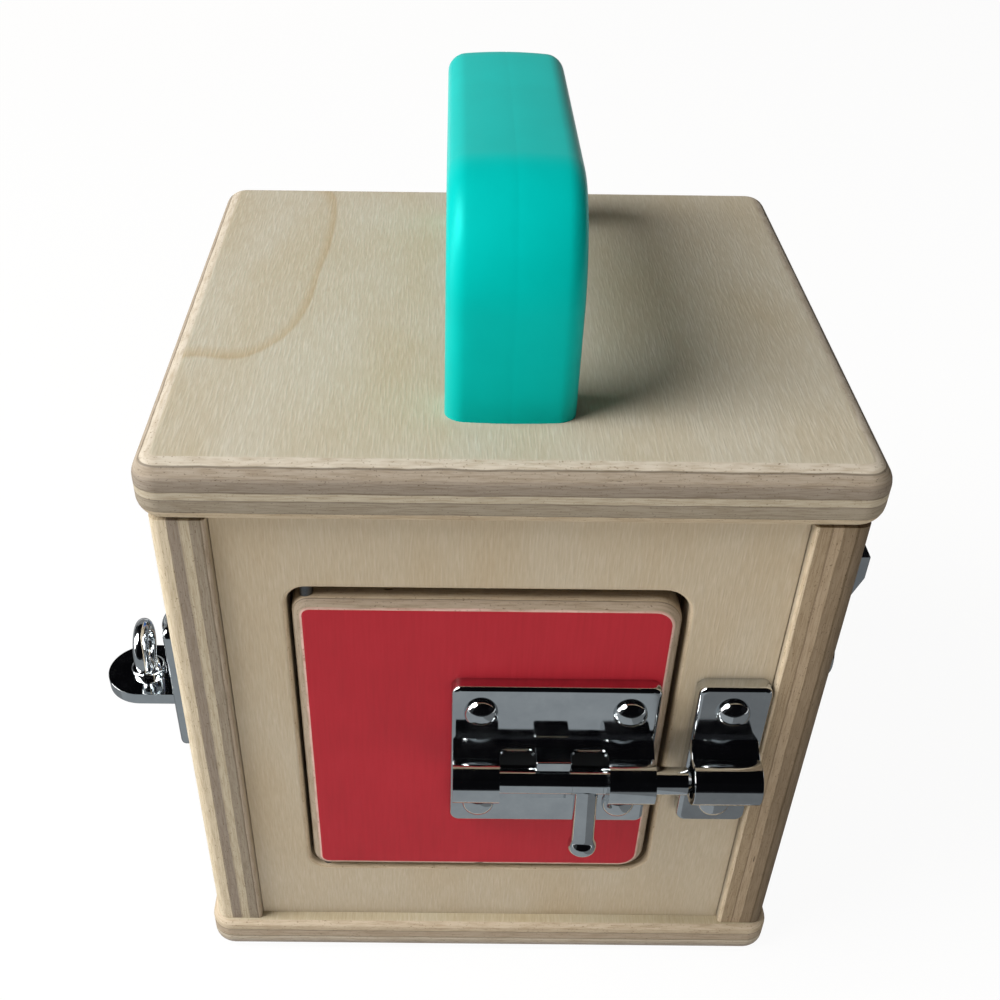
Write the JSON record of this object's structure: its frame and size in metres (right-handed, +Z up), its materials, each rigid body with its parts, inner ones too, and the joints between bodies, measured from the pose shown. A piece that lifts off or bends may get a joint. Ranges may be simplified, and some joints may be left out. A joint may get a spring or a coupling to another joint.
{
  "type": "wooden lock box toy",
  "caption": "Plywood lock box toy with a moulded carry handle on top and a pivoted door in each side, every door with a different working metal fastening.",
  "frame": {"origin": "centre of the underside of the base board", "axes": "+Z up, front with the red door towards -Y, +X to the right as seen from the front"},
  "size_m": [0.1781, 0.1649, 0.209],
  "materials": {
    "birch_ply": "clear-varnished birch plywood with bare ply edges",
    "beech": "bare turned dowel",
    "red_painted_ply": "satin red paint over plywood, natural rounded edges",
    "blue_painted_ply": "satin blue paint over plywood, natural rounded edges",
    "yellow_painted_ply": "satin yellow paint over plywood, natural rounded edges",
    "green_painted_ply": "satin green paint over plywood, natural rounded edges",
    "turquoise_plastic": "semi-gloss moulded plastic with a centre parting line",
    "chrome": "bright chrome plate over zinc or steel",
    "steel": "plain bright steel"
  },
  "bodies": {
    "box": {"base_board": "birch_ply", "left_wall": "birch_ply", "right_wall": "birch_ply", "front_panel": "birch_ply", "back_panel": "birch_ply", "top_board": "birch_ply", "base_dowels": "beech", "top_dowels": "beech", "carry_handle": "turquoise_plastic", "handle_screws": "steel", "front_door_pins": "steel", "left_door_pins": "steel", "right_door_pins": "steel", "back_door_pins": "steel", "keeper": "chrome", "keeper_screws": "chrome", "staple_plate": "chrome", "staple_screws": "chrome", "lever_plate": "chrome", "lever_screws": "chrome", "lever_pivot": "chrome", "button_washer": "chrome", "button_screw": "chrome"},
    "front_door": {"front_door": "red_painted_ply", "bolt_case": "chrome", "bolt_screws": "chrome"},
    "bolt_rod": {"bolt_rod": "chrome"},
    "bolt_knob": {"bolt_knob": "chrome"},
    "left_door": {"left_door": "blue_painted_ply", "hasp_base": "chrome", "hasp_screws": "chrome", "hasp_pin": "steel"},
    "hasp_leaf": {"hasp_leaf": "chrome"},
    "swivel_ring": {"swivel_ring": "chrome"},
    "right_door": {"right_door": "yellow_painted_ply"},
    "lever_catch": {"lever_catch": "chrome"},
    "back_door": {"back_door": "green_painted_ply"},
    "turn_button": {"turn_button": "chrome"}
  },
  "joints": [
    {"name": "front_door_swing", "type": "hinge", "parent": "box", "child": "front_door", "pos_m": [-0.0439, -0.0663, 0.0783], "axis": [0, 0, -1], "range_deg": [0, 95]},
    {"name": "bolt_slide", "type": "slide", "parent": "front_door", "child": "bolt_rod", "axis": [1, 0, 0], "range_m": [-0.016, 0.0015]},
    {"name": "bolt_turn", "type": "hinge", "parent": "bolt_rod", "child": "bolt_knob", "pos_m": [0.0206, -0.0794, 0.0781], "axis": [-1, 0, 0], "range_deg": [-12, 138]},
    {"name": "left_door_swing", "type": "hinge", "parent": "box", "child": "left_door", "pos_m": [-0.0725, 0.0431, 0.0783], "axis": [0, 0, -1], "range_deg": [0, 95]},
    {"name": "hasp_swing", "type": "hinge", "parent": "left_door", "child": "hasp_leaf", "pos_m": [-0.0797, -0.036, 0.0872], "axis": [0, 0, 1], "range_deg": [0, 110]},
    {"name": "ring_turn", "type": "hinge", "parent": "box", "child": "swivel_ring", "pos_m": [-0.0865, -0.0526, 0.0874], "axis": [0, 0, -1], "range_deg": [0, 90]},
    {"name": "right_door_swing", "type": "hinge", "parent": "box", "child": "right_door", "pos_m": [0.0725, 0.0431, 0.0783], "axis": [0, 0, 1], "range_deg": [0, 95]},
    {"name": "catch_turn", "type": "hinge", "parent": "box", "child": "lever_catch", "pos_m": [0.0785, -0.0526, 0.097], "axis": [-1, 0, 0], "range_deg": [0, 90]},
    {"name": "back_door_swing", "type": "hinge", "parent": "box", "child": "back_door", "pos_m": [0.0439, 0.0663, 0.0783], "axis": [0, 0, -1], "range_deg": [0, 95]},
    {"name": "button_turn", "type": "hinge", "parent": "box", "child": "turn_button", "pos_m": [-0.0506, 0.0735, 0.0772], "axis": [0, 1, 0], "range_deg": [0, 90]}
  ]
}
